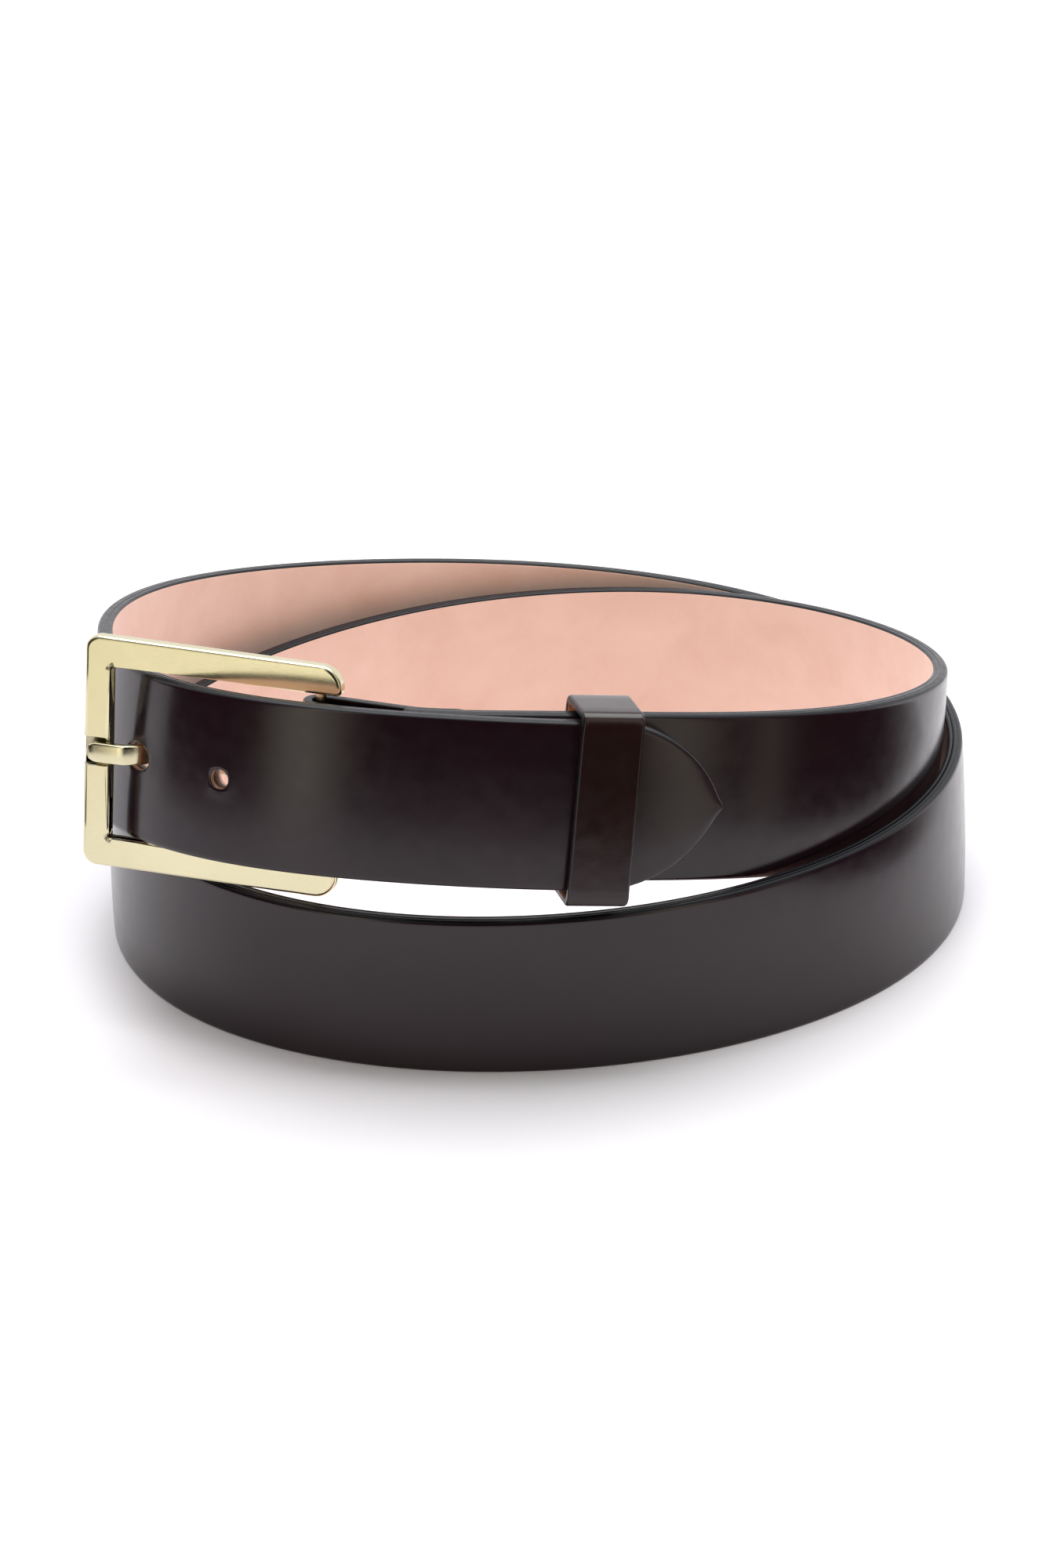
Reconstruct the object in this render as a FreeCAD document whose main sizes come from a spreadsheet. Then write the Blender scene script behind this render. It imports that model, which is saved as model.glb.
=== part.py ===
import FreeCAD, Part
import math
import os
import Sketcher
from FreeCAD import Matrix, Placement, Rotation, Vector

# A dress belt, buckled and wound into two turns that stand on their edges. +Z is up and
# the floor is z = 0. The strap runs clockwise, seen from above, from its tip in front.

doc = FreeCAD.newDocument("dress_belt")

# ---------------------------------------------------------------- driving dimensions
SIZES = [
    ("strap_width", 35.0),
    ("strap_thick", 3.5),
    ("face_thick", 1.0),
    ("core_thick", 1.5),
    ("tip_length", 25.0),
    ("tip_nose", 1.5),
    ("tip_to_hole", 102.1),
    ("hole_pitch", 23.0),
    ("hole_count", 5),
    ("hole_dia", 4.0),
    ("pulled_length", 8.0),
    ("pulled_width", 5.6),
    ("chape_thick", 1.8),
    ("chape_width", 34.0),
    ("chape_inner", 1.9),
    ("chape_gap", 17.5),
    ("chape_front", 22.0),
    ("chape_rear", 19.0),
    ("chape_slot", 5.4),
    ("chape_slot_back", 9.0),
    ("screw_from_end", 9.0),
    ("screw_spread", 9.0),
    ("post_dia", 4.0),
    ("post_bore", 2.2),
    ("post_clearance", 0.1),
    ("post_head_dia", 7.0),
    ("post_head_thick", 0.7),
    ("post_length", 5.8),
    ("screw_head_thick", 0.9),
    ("screw_length", 4.5),
    ("screw_relief", 0.15),
    ("screw_slot_width", 0.8),
    ("frame_width", 48.6),
    ("frame_thick", 3.2),
    ("arm_width", 6.0),
    ("bar_width", 5.4),
    ("bar_reach", 50.0),
    ("arm_tail", 4.5),
    ("corner_radius", 3.0),
    ("tail_radius", 4.6),
    ("inner_radius", 1.0),
    ("face_round", 0.9),
    ("seat_width", 5.6),
    ("seat_depth", 1.0),
    ("seat_overrun", 1.0),
    ("pivot_dia", 2.2),
    ("pivot_seat", 3.5),
    ("prong_bore", 2.3),
    ("prong_eye", 5.0),
    ("prong_width", 4.2),
    ("prong_thick", 2.0),
    ("prong_dip_reach", 35.0),
    ("prong_dip", 4.0),
    ("prong_rise_reach", 41.8),
    ("prong_bend_back", 0.7),
    ("prong_tip_back", 1.0),
    ("prong_tip_thick", 1.6),
    ("prong_seat_gap", 0.05),
    ("prong_round", 0.45),
    ("keeper_from_tip", 25.0),
    ("keeper_width", 12.6),
    ("keeper_thick", 1.8),
    ("keeper_gap_face", 0.7),
    ("keeper_gap_edge", 0.9),
    ("keeper_strap_gap", 7.0),
    ("keeper_bend", 2.6),
    ("butt_gap", 0.4),
    ("staple_wire", 0.8),
    ("staple_span", 8.0),
]

sheet = doc.addObject("Spreadsheet::Sheet", "Sizes")
for row, (alias, value) in enumerate(SIZES, start=1):
    sheet.set("A%d" % row, alias)
    sheet.set("B%d" % row, str(value))
    sheet.setAlias("B%d" % row, alias)
doc.recompute()


def size(alias):
    """One driving dimension from the sheet, as a plain number."""
    return float(sheet.get(alias))


# ---------------------------------------------------------------- route of the strap
# Control points of the strap's middle surface: x, y, height of the middle, and the lean
# of its upper edge outwards in degrees. The first turn goes round the outside, sinks to
# the floor, and the second turn climbs inside it back to the buckle.
ROUTE = [
    (39.0, -53.5, 55.5, -5),
    (19.5, -62.5, 58.9, -7),
    (-30.0, -69.0, 63.7, -9),
    (-81.5, -46.0, 60.7, -9),
    (-93.5, 16.0, 49.5, -5),
    (-72.5, 70.0, 35.2, 3),
    (-24.0, 102.0, 24.7, 8),
    (32.0, 109.0, 18.7, 7),
    (81.0, 80.0, 17.2, 3),
    (99.0, 24.5, 17.2, -3),
    (79.0, -26.5, 17.2, -4),
    (32.0, -59.5, 17.2, 1),
    (-25.5, -66.0, 17.2, 4),
    (-74.5, -41.0, 17.2, 3),
    (-92.5, 13.0, 17.2, -1),
    (-65.5, 63.5, 17.2, 0),
    (-19.5, 98.0, 17.2, 3),
    (36.0, 102.0, 18.7, 6),
    (81.5, 67.0, 24.2, 7),
    (93.5, 12.5, 34.7, 3),
    (60.5, -38.5, 49.4, -1),
    (8.0, -60.0, 60.6, -7),
    (-18.0, -58.0, 59.4, -7),
    (-24.0, -56.0, 59.4, -7),
]
CENTRE = Vector(1.73, 21.0, 0)  # the middle of the coil's footprint, made the origin
DEGREE = 3
SPANS = len(ROUTE) - DEGREE
KNOTS = [i / SPANS for i in range(SPANS + 1)]
MULTS = [DEGREE + 1] + [1] * (SPANS - 1) + [DEGREE + 1]
STATION_STEP = 4.0
STATIONS_PER_FACE = 10


def bspline(poles):
    """A clamped, evenly knotted cubic with these control points."""
    curve = Part.BSplineCurve()
    curve.buildFromPolesMultsKnots(poles, MULTS, KNOTS, False, DEGREE)
    return curve


middle = bspline([Vector(x, y, z) - CENTRE for x, y, z, lean in ROUTE])
lean_law = bspline([Vector(lean, 0, 0) for x, y, z, lean in ROUTE])
middle_edge = middle.toShape()
LENGTH = middle_edge.Length


class Station:
    """The strap's own axes at a distance from the tip: along, across (up) and out."""

    def __init__(self, distance):
        inside = min(max(distance, 0.0), LENGTH)
        at = middle_edge.getParameterByLength(inside)
        self.along = middle.tangent(at)[0].normalize()
        side = Vector(-self.along.y, self.along.x, 0).normalize()
        rise = self.along.cross(side).normalize()
        lean = math.radians(lean_law.value(at).x)
        self.up = rise * math.cos(lean) + side * math.sin(lean)
        self.out = side * math.cos(lean) - rise * math.sin(lean)
        self.point = middle.value(at) + self.along * (distance - inside)

    def place(self, across=0.0, outward=0.0):
        return self.point + self.up * across + self.out * outward

    def placement(self, shift=Vector(0, 0, 0)):
        """Axes for a piece: X along the strap, Y down its face, Z out of its face."""
        down = self.out.cross(self.along)
        turn = Matrix(
            self.along.x, down.x, self.out.x, self.point.x,
            self.along.y, down.y, self.out.y, self.point.y,
            self.along.z, down.z, self.out.z, self.point.z,
            0, 0, 0, 1)
        return Placement(turn).multiply(Placement(shift, Rotation()))


def stations(start, end):
    """Distances along the strap, about a step apart, with the axes at each."""
    count = max(4, round((end - start) / STATION_STEP))
    distances = [start + (end - start) * i / count for i in range(count + 1)]
    return distances, [Station(distance) for distance in distances]


def rail(distances, run, across, outward):
    """A smooth edge along the strap at one height and one depth of its thickness."""
    curve = Part.BSplineCurve()
    points = [station.place(across, outward) for station in run]
    curve.interpolate(Points=points, Parameters=distances)
    return curve


def stretch(curve, start, end):
    """The edge between two distances along a rail."""
    piece = curve.copy()
    piece.segment(start, end)
    return piece.toShape()


def ribbon(start, end, half_width, inner, outer):
    """A closed band of leather that follows the route between two depths."""
    distances, run = stations(start, end)
    sides = ((-1, inner), (1, inner), (1, outer), (-1, outer))
    rails = [rail(distances, run, half_width * side, depth) for side, depth in sides]
    breaks = distances[:-2:STATIONS_PER_FACE] + distances[-1:]
    faces = []
    for first, last in zip(breaks, breaks[1:]):
        edges = [stretch(curve, first, last) for curve in rails]
        faces += [Part.makeRuledSurface(edges[i], edges[(i + 1) % 4]) for i in range(4)]
    for station in (run[0], run[-1]):
        corners = [station.place(half_width * side, depth) for side, depth in sides]
        faces.append(Part.Face(Part.makePolygon(corners + corners[:1])))
    shell = Part.makeShell(faces)
    shell.sewShape()
    solid = Part.makeSolid(shell)
    if solid.Volume < 0:
        solid.reverse()
    return solid


# ---------------------------------------------------------------- cutters for the strap
HALF_WIDTH = size("strap_width") / 2
THICK = size("strap_thick")
CUT_DEPTH = 12.0
JACKET_DEPTH = 0.6 * THICK
FLOOR_SIZE = 400.0
FLOOR_DEPTH = 10.0


def local_prism(outline, station, depth):
    """A closed outline in a station's X-Y plane, made solid to both sides of the strap."""
    face = Part.Face(Part.Wire(outline))
    solid = face.extrude(Vector(0, 0, 2 * depth))
    solid.translate(Vector(0, 0, -depth))
    solid.Placement = station.placement().multiply(solid.Placement)
    return solid


def arc(first, through, last):
    return Part.Arc(first, through, last).toShape()


def line(first, last):
    return Part.makeLine(first, last)


def tip_cutter():
    """What a round-shouldered point leaves off the end of a straight strap."""
    reach = size("tip_length")
    radius = (reach ** 2 + HALF_WIDTH ** 2) / (2 * HALF_WIDTH)
    margin = 4.0
    middle_x = reach * 0.45

    def flank(x):
        return HALF_WIDTH - radius + math.sqrt(radius ** 2 - (reach - x) ** 2)

    nose = size("tip_nose")
    near = Vector(nose * 0.35, flank(nose * 0.35), 0)
    far = Vector(near.x, -near.y, 0)
    tip_edge = arc(near, Vector(0, 0, 0), far)
    upper = arc(near, Vector(middle_x, flank(middle_x), 0), Vector(reach, HALF_WIDTH, 0))
    lower = arc(far, Vector(middle_x, -flank(middle_x), 0), Vector(reach, -HALF_WIDTH, 0))
    corners = [
        Vector(reach, HALF_WIDTH, 0),
        Vector(reach, HALF_WIDTH + margin, 0),
        Vector(-margin, HALF_WIDTH + margin, 0),
        Vector(-margin, -HALF_WIDTH - margin, 0),
        Vector(reach, -HALF_WIDTH - margin, 0),
        Vector(reach, -HALF_WIDTH, 0),
    ]
    frame = [line(corners[i], corners[i + 1]) for i in range(5)]
    outline = Part.__sortEdges__([upper, tip_edge, lower] + frame)
    prism = local_prism(outline, Station(0), CUT_DEPTH)
    jacket = ribbon(-margin / 2, 2 * reach, HALF_WIDTH + margin / 2, -JACKET_DEPTH, JACKET_DEPTH)
    return prism.common(jacket)


def hole_cutter(distance):
    """A round punch, square to the strap."""
    circle = Part.makeCircle(size("hole_dia") / 2)
    return local_prism([circle], Station(distance), THICK)


def pulled_hole_cutter(distance):
    """The hole that the prong fills: the leather is drawn out along the strap."""
    radius = size("pulled_width") / 2
    half = size("pulled_length") / 2 - radius
    left = arc(Vector(-half, radius, 0), Vector(-half - radius, 0, 0), Vector(-half, -radius, 0))
    right = arc(Vector(half, -radius, 0), Vector(half + radius, 0, 0), Vector(half, radius, 0))
    bottom = line(Vector(-half, -radius, 0), Vector(half, -radius, 0))
    top = line(Vector(half, radius, 0), Vector(-half, radius, 0))
    return local_prism([left, bottom, right, top], Station(distance), THICK)


def screw_cutters():
    """Two clearance holes through the strap's square end."""
    radius = size("post_dia") / 2 + size("post_clearance")
    cutters = []
    for side in (-1, 1):
        circle = Part.makeCircle(radius, Vector(0, side * size("screw_spread"), 0))
        cutters.append(local_prism([circle], Station(LENGTH - size("screw_from_end")), THICK))
    return cutters


PRONG_HOLE = 1
hole_places = [size("tip_to_hole") + size("hole_pitch") * i for i in range(int(size("hole_count")))]
floor_block = Part.makeBox(FLOOR_SIZE, FLOOR_SIZE, FLOOR_DEPTH,
                           Vector(-FLOOR_SIZE / 2, -FLOOR_SIZE / 2, -FLOOR_DEPTH))
strap_cutters = [tip_cutter(), floor_block] + screw_cutters()
for number, place in enumerate(hole_places):
    cutter = pulled_hole_cutter if number == PRONG_HOLE else hole_cutter
    strap_cutters.append(cutter(place))


def add_shape(label, shape):
    piece = doc.addObject("Part::Feature", label)
    piece.Label = label
    piece.Shape = shape
    return piece


def strap_layer(label, inner, outer):
    blank = ribbon(0.0, LENGTH, HALF_WIDTH, inner, outer)
    return add_shape(label, blank.cut(strap_cutters))


parts = []
face_inner = THICK / 2 - size("face_thick")
lining_outer = face_inner - size("core_thick")
parts.append(strap_layer("strap_face", face_inner, THICK / 2))
parts.append(strap_layer("strap_core", lining_outer, face_inner))
parts.append(strap_layer("strap_lining", -THICK / 2, lining_outer))

# ---------------------------------------------------------------- buckle tab (chape)
# The pivot is in line with the strap's square end. Its axes are that end's axes.
strap_end = Station(LENGTH)
pivot_station = Station(LENGTH + size("chape_gap"))
pivot_place = pivot_station.placement()


def chape():
    """A leather tab folded round the pivot, with the strap's end between its layers."""
    half = size("chape_width") / 2
    inner = size("chape_inner")
    outer = inner + size("chape_thick")
    pivot_at = LENGTH + size("chape_gap")
    front = ribbon(LENGTH - size("chape_front"), pivot_at, half, inner, outer)
    rear = ribbon(LENGTH - size("chape_rear"), pivot_at, half, -outer, -inner)
    roll = Part.makeCylinder(outer, 2 * half, Vector(0, -half, 0), Vector(0, 1, 0))
    roll = roll.cut(Part.makeCylinder(inner, 2 * half, Vector(0, -half, 0), Vector(0, 1, 0)))
    ahead = Part.makeBox(2 * outer, 2 * half, 2 * outer, Vector(0, -half, -outer))
    fold = roll.common(ahead)
    fold.Placement = pivot_place
    slot = size("chape_slot")
    back = size("chape_slot_back")
    straight = Part.makeBox(back + 2 * outer, slot, 4 * outer, Vector(-back, -slot / 2, -2 * outer))
    round_end = Part.makeCylinder(slot / 2, 4 * outer, Vector(-back, 0, -2 * outer))
    opening = straight.fuse(round_end)
    opening.Placement = pivot_place
    tab = front.fuse([fold, rear])
    return tab.cut([opening] + tab_screw_cutters())


def tab_screw_cutters():
    """Clearance holes and a head recess through both layers of the tab."""
    station = Station(LENGTH - size("screw_from_end"))
    surface = size("chape_inner") + size("chape_thick")
    hole_radius = size("post_dia") / 2 + size("post_clearance")
    head_radius = size("post_head_dia") / 2 + size("post_clearance")
    cutters = []
    for side in (-1, 1):
        centre = Vector(0, side * size("screw_spread"), 0)
        below = centre - Vector(0, 0, CUT_DEPTH / 2)
        hole = Part.makeCylinder(hole_radius, CUT_DEPTH, below)
        head_seat = centre + Vector(0, 0, surface - size("post_head_thick"))
        recess = Part.makeCylinder(head_radius, CUT_DEPTH, head_seat)
        for cutter in (hole, recess):
            cutter.Placement = station.placement()
            cutters.append(cutter)
    return cutters


parts.append(add_shape("buckle_chape", chape()))

# ---------------------------------------------------------------- sketch helpers


def new_body(label):
    body = doc.addObject("PartDesign::Body", label)
    body.Label = label
    return body


def new_sketch(body, name, role, lift=""):
    """A sketch on one of the body's own origin planes, raised by a sheet expression."""
    sketch = body.newObject("Sketcher::SketchObject", name)
    plane = [item for item in body.Origin.OriginFeatures if item.Role == role][0]
    sketch.AttachmentSupport = [(plane, "")]
    sketch.MapMode = "FlatFace"
    if lift:
        sketch.setExpression("AttachmentOffset.Base.z", lift)
    return sketch


def polygon(sketch, points):
    """A closed outline whose corners are held by sheet expressions (x, y)."""
    values = [(evaluate(x), evaluate(y)) for x, y in points]
    count = len(values)
    first = sketch.GeometryCount
    for i in range(count):
        start = Vector(*values[i], 0)
        end = Vector(*values[(i + 1) % count], 0)
        sketch.addGeometry(Part.LineSegment(start, end), False)
    for i in range(count):
        sketch.addConstraint(Sketcher.Constraint("Coincident", first + i, 2, first + (i + 1) % count, 1))
    for i, (x, y) in enumerate(points):
        hold_point(sketch, first + i, 1, x, y)


def circle(sketch, x, y, radius):
    """A circle whose centre and radius are held by sheet expressions."""
    centre = Vector(evaluate(x), evaluate(y), 0)
    index = sketch.addGeometry(Part.Circle(centre, Vector(0, 0, 1), evaluate(radius)), False)
    hold_point(sketch, index, 3, x, y)
    hold(sketch, Sketcher.Constraint("Radius", index, evaluate(radius)), radius)


def evaluate(expression):
    """The value of a sheet expression now, used to draw a sketch before it is bound."""
    return float(sheet.evalExpression(expression.replace("Sizes.", "")))


def hold(sketch, constraint, expression):
    number = sketch.addConstraint(constraint)
    name = "hold_%d" % number
    sketch.renameConstraint(number, name)
    sketch.setExpression("Constraints." + name, expression)


def hold_point(sketch, index, end, x, y):
    """Tie a point's distances from the sketch axes to the sheet."""
    for kind, expression in (("DistanceX", x), ("DistanceY", y)):
        value = evaluate(expression)
        hold(sketch, Sketcher.Constraint(kind, -1, 1, index, end, value), expression)


def pad(body, sketch, name, length):
    feature = body.newObject("PartDesign::Pad", name)
    feature.Profile = sketch
    feature.Midplane = True
    feature.setExpression("Length", length)
    return feature


def pocket(body, sketch, name, length):
    feature = body.newObject("PartDesign::Pocket", name)
    feature.Profile = sketch
    feature.Midplane = True
    feature.setExpression("Length", length)
    return feature


def edges_where(feature, test):
    """Names of the edges of a feature's shape that pass a test."""
    return ["Edge%d" % (i + 1) for i, edge in enumerate(feature.Shape.Edges) if test(edge)]


def fillet(body, feature, name, radius, test):
    doc.recompute()
    rounding = body.newObject("PartDesign::Fillet", name)
    rounding.Base = (feature, edges_where(feature, test))
    rounding.setExpression("Radius", radius)
    return rounding


def along_z(edge):
    direction = edge.tangentAt(edge.FirstParameter)
    return edge.Curve.TypeId == "Part::GeomLine" and abs(direction.z) > 0.99


def middle_of(edge):
    return edge.CenterOfMass


# ---------------------------------------------------------------- buckle frame
# Local axes: X from the pivot towards the closed bar, Y down, Z out of the front face.


def buckle_frame():
    """A C of flat bar: two arms and a closed bar, with a seat for the prong's tip."""
    body = new_body("buckle_frame")
    tail = "-Sizes.arm_tail"
    reach = "Sizes.bar_reach"
    inside = "Sizes.bar_reach - Sizes.bar_width"
    outer = "Sizes.frame_width / 2"
    inner = "Sizes.frame_width / 2 - Sizes.arm_width"
    sketch = new_sketch(body, "frame_outline", "XY_Plane")
    polygon(sketch, [
        (tail, outer), (reach, outer), (reach, "-(%s)" % outer), (tail, "-(%s)" % outer),
        (tail, "-(%s)" % inner), (inside, "-(%s)" % inner), (inside, inner), (tail, inner)])
    plate = pad(body, sketch, "frame_plate", "Sizes.frame_thick")
    reach_now = size("bar_reach")
    half_now = size("frame_width") / 2
    limit = 0.01

    def closed_corner(edge):
        at = middle_of(edge)
        return along_z(edge) and abs(at.x - reach_now) < limit

    def tail_corner(edge):
        at = middle_of(edge)
        return along_z(edge) and at.x < 0 and abs(abs(at.y) - half_now) < limit

    def inside_corner(edge):
        at = middle_of(edge)
        return along_z(edge) and abs(at.x - (reach_now - size("bar_width"))) < limit

    last = fillet(body, plate, "closed_corners", "Sizes.corner_radius", closed_corner)
    last = fillet(body, last, "tail_corners", "Sizes.tail_radius", tail_corner)
    last = fillet(body, last, "inside_corners", "Sizes.inner_radius", inside_corner)

    def on_face(edge):
        box = edge.BoundBox
        flat = box.ZMax - box.ZMin < limit
        return flat and abs(abs(box.ZMax) - size("frame_thick") / 2) < limit

    last = fillet(body, last, "face_rounding", "Sizes.face_round", on_face)
    seat_sketch = new_sketch(body, "seat_outline", "XZ_Plane")
    seat_floor = "Sizes.frame_thick / 2 - Sizes.seat_depth"
    seat_start = "Sizes.bar_reach - Sizes.bar_width - Sizes.seat_overrun"
    seat_end = "Sizes.bar_reach - Sizes.face_round"
    polygon(seat_sketch, [
        (seat_start, seat_floor), (seat_end, seat_floor),
        (seat_end, "Sizes.frame_thick"), (seat_start, "Sizes.frame_thick")])
    pocket(body, seat_sketch, "prong_seat", "Sizes.seat_width")
    for sign, name in (("-", "lower"), ("", "upper")):
        arm_inside = sign + "(Sizes.frame_width / 2 - Sizes.arm_width)"
        hole_sketch = new_sketch(body, name + "_pivot_outline", "XZ_Plane", arm_inside)
        circle(hole_sketch, "0", "0", "Sizes.pivot_dia / 2")
        pocket(body, hole_sketch, name + "_pivot_seat", "2 * Sizes.pivot_seat")
    return body


def pivot_bar():
    """The pin that the tab and the prong turn on, pressed into both arms."""
    pin = doc.addObject("Part::Cylinder", "pivot_bar")
    pin.Label = "pivot_bar"
    pin.setExpression("Radius", "Sizes.pivot_dia / 2")
    pin.setExpression(
        "Height", "Sizes.frame_width - 2 * Sizes.arm_width + 2 * Sizes.pivot_seat")
    half = size("frame_width") / 2 - size("arm_width") + size("pivot_seat")
    pin.Placement = pivot_place.multiply(
        Placement(Vector(0, -half, 0), Rotation(Vector(1, 0, 0), -90)))
    return pin


def prong():
    """An eye on the pivot, a shank that dips behind the strap and a tip on the bar."""
    body = new_body("prong")
    sketch = new_sketch(body, "shank_outline", "XZ_Plane")
    seat_top = "Sizes.frame_thick / 2 - Sizes.seat_depth + Sizes.prong_seat_gap"
    tip = "Sizes.bar_reach - Sizes.prong_tip_back"
    polygon(sketch, [
        ("0", "-Sizes.prong_eye / 2"),
        ("Sizes.prong_dip_reach", "-Sizes.prong_dip"),
        ("Sizes.prong_rise_reach", seat_top),
        (tip, seat_top),
        (tip, seat_top + " + Sizes.prong_tip_thick"),
        ("Sizes.prong_rise_reach - Sizes.prong_bend_back", seat_top + " + Sizes.prong_thick"),
        ("Sizes.prong_dip_reach - Sizes.prong_bend_back", "Sizes.prong_thick - Sizes.prong_dip"),
        ("0", "Sizes.prong_eye / 2")])
    shank = pad(body, sketch, "shank", "Sizes.prong_width")
    eye_sketch = new_sketch(body, "eye_outline", "XZ_Plane")
    circle(eye_sketch, "0", "0", "Sizes.prong_eye / 2")
    pad(body, eye_sketch, "eye", "Sizes.prong_width")
    bore_sketch = new_sketch(body, "bore_outline", "XZ_Plane")
    circle(bore_sketch, "0", "0", "Sizes.prong_bore / 2")
    pocket(body, bore_sketch, "pivot_bore", "2 * Sizes.prong_width")
    return body


def soften_prong(body):
    """Round the long edges that a finger and the leather meet."""
    doc.recompute()
    base = body.Tip
    half = size("prong_width") / 2
    above_dip = -0.8 * size("prong_dip")
    limit = 0.01

    def long_edge(edge):
        box = edge.BoundBox
        at = middle_of(edge)
        beside = box.YMax - box.YMin < limit and abs(abs(at.y) - half) < limit
        on_shank = at.x > size("prong_eye") and edge.Length > size("prong_thick")
        return beside and on_shank and at.z > above_dip

    fillet(body, base, "prong_rounding", "Sizes.prong_round", long_edge)


# ---------------------------------------------------------------- keeper
# Local axes: X along the strap at the keeper, Y down, Z out of the strap's face.
keeper_place = Station(size("keeper_from_tip")).placement()
KEEPER_FRONT = "(Sizes.strap_thick / 2 + Sizes.keeper_gap_face)"
KEEPER_BACK = "(Sizes.strap_thick / 2 + Sizes.keeper_strap_gap + Sizes.keeper_gap_face)"
KEEPER_HALF = "(Sizes.strap_width / 2 + Sizes.keeper_gap_edge)"
STAPLE_LEG = "Sizes.staple_span / 2"


def rectangle(sketch, half_width, low, high):
    polygon(sketch, [("-%s" % half_width, low), (half_width, low),
                     (half_width, high), ("-%s" % half_width, high)])


def keeper_band():
    """A loop of leather round both thicknesses of strap, its ends meeting behind."""
    body = new_body("keeper_band")
    grow = "Sizes.keeper_thick"
    outline = new_sketch(body, "keeper_outline", "YZ_Plane")
    rectangle(outline, "(%s + %s)" % (KEEPER_HALF, grow),
              "-%s - %s" % (KEEPER_BACK, grow), "%s + %s" % (KEEPER_FRONT, grow))
    block = pad(body, outline, "keeper_block", "Sizes.keeper_width")
    last = fillet(body, block, "outer_bends", "Sizes.keeper_bend", along_x)
    inside = new_sketch(body, "keeper_inside", "YZ_Plane")
    rectangle(inside, KEEPER_HALF, "-" + KEEPER_BACK, KEEPER_FRONT)
    last = pocket(body, inside, "keeper_opening", "2 * Sizes.keeper_width")
    bend = evaluate(KEEPER_HALF)

    def inner_bend(edge):
        return along_x(edge) and abs(abs(middle_of(edge).y) - bend) < 0.01

    last = fillet(body, last, "inner_bends", "Sizes.keeper_bend - Sizes.keeper_thick", inner_bend)
    joint = new_sketch(body, "butt_joint_outline", "YZ_Plane")
    rectangle(joint, "(Sizes.butt_gap / 2)", "-%s - 2 * %s" % (KEEPER_BACK, grow), "0")
    pocket(body, joint, "butt_joint", "2 * Sizes.keeper_width")
    legs = new_sketch(body, "staple_holes_outline", "XY_Plane", "-%s" % KEEPER_BACK)
    for side in ("", "-"):
        circle(legs, "0", side + STAPLE_LEG, "Sizes.staple_wire / 2")
    pocket(body, legs, "staple_holes", "2 * %s + 1" % grow)
    return body


def along_x(edge):
    direction = edge.tangentAt(edge.FirstParameter)
    return edge.Curve.TypeId == "Part::GeomLine" and abs(direction.x) > 0.99


def cylinder(name, radius, height, place):
    rod = doc.addObject("Part::Cylinder", name)
    rod.setExpression("Radius", radius)
    rod.setExpression("Height", height)
    rod.Placement = place
    return rod


def fuse(name, pieces):
    joined = doc.addObject("Part::MultiFuse", name)
    joined.Shapes = pieces
    joined.Refine = True
    return joined


def keeper_staple():
    """A wire staple across the meeting ends, its legs pressed through the leather."""
    wire = size("staple_wire") / 2
    half = size("staple_span") / 2
    back = -evaluate(KEEPER_BACK)
    outside = back - size("keeper_thick") - wire
    downwards = Rotation(Vector(1, 0, 0), -90)
    crown = cylinder("staple_crown", "Sizes.staple_wire / 2", "Sizes.staple_span",
                     keeper_place.multiply(Placement(Vector(0, -half, outside), downwards)))
    pieces = [crown]
    for side in (-1, 1):
        foot = keeper_place.multiply(Placement(Vector(0, side * half, outside), Rotation()))
        pieces.append(cylinder("staple_leg", "Sizes.staple_wire / 2",
                               "Sizes.keeper_thick + Sizes.staple_wire / 2", foot))
    staple = fuse("keeper_staple", pieces)
    staple.Label = "keeper_staple"
    return staple


# ---------------------------------------------------------------- tab screws
STACK = size("chape_inner") + size("chape_thick")
screw_place = Station(LENGTH - size("screw_from_end")).placement()


def at_screw(side, height):
    centre = Vector(0, side * size("screw_spread"), height)
    return screw_place.multiply(Placement(centre, Rotation()))


def chape_post(side):
    """A flat-headed hollow post, let into the front layer of the tab."""
    head = cylinder("post_head", "Sizes.post_head_dia / 2", "Sizes.post_head_thick",
                    at_screw(side, STACK - size("post_head_thick")))
    barrel = cylinder("post_barrel", "Sizes.post_dia / 2", "Sizes.post_length",
                      at_screw(side, STACK - size("post_head_thick") - size("post_length")))
    bore = cylinder("post_bore", "Sizes.post_bore / 2", "Sizes.post_length",
                    at_screw(side, STACK - size("post_head_thick") - size("post_length")))
    post = doc.addObject("Part::Cut", "post")
    post.Base = fuse("post_solid", [head, barrel])
    post.Tool = bore
    return post


def chape_screw(side):
    """The slotted screw that closes a post from behind."""
    thick = size("screw_head_thick")
    seat = -STACK - size("screw_relief")
    head = cylinder("screw_head", "Sizes.post_head_dia / 2", "Sizes.screw_head_thick",
                    at_screw(side, seat - thick))
    shank = cylinder("screw_shank", "Sizes.post_bore / 2", "Sizes.screw_length",
                     at_screw(side, seat))
    slot = doc.addObject("Part::Box", "screw_slot")
    slot.setExpression("Length", "Sizes.post_head_dia + 1")
    slot.setExpression("Width", "Sizes.screw_slot_width")
    slot.setExpression("Height", "Sizes.screw_head_thick")
    slot.Placement = at_screw(side, seat - 1.5 * thick).multiply(Placement(
        Vector(-size("post_head_dia") / 2 - 0.5, -size("screw_slot_width") / 2, 0), Rotation()))
    screw = doc.addObject("Part::Cut", "screw")
    screw.Base = fuse("screw_solid", [head, shank])
    screw.Tool = slot
    return screw


def pair(label, maker):
    group = doc.addObject("Part::Compound", label)
    group.Label = label
    group.Links = [maker(-1), maker(1)]
    return group


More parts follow.
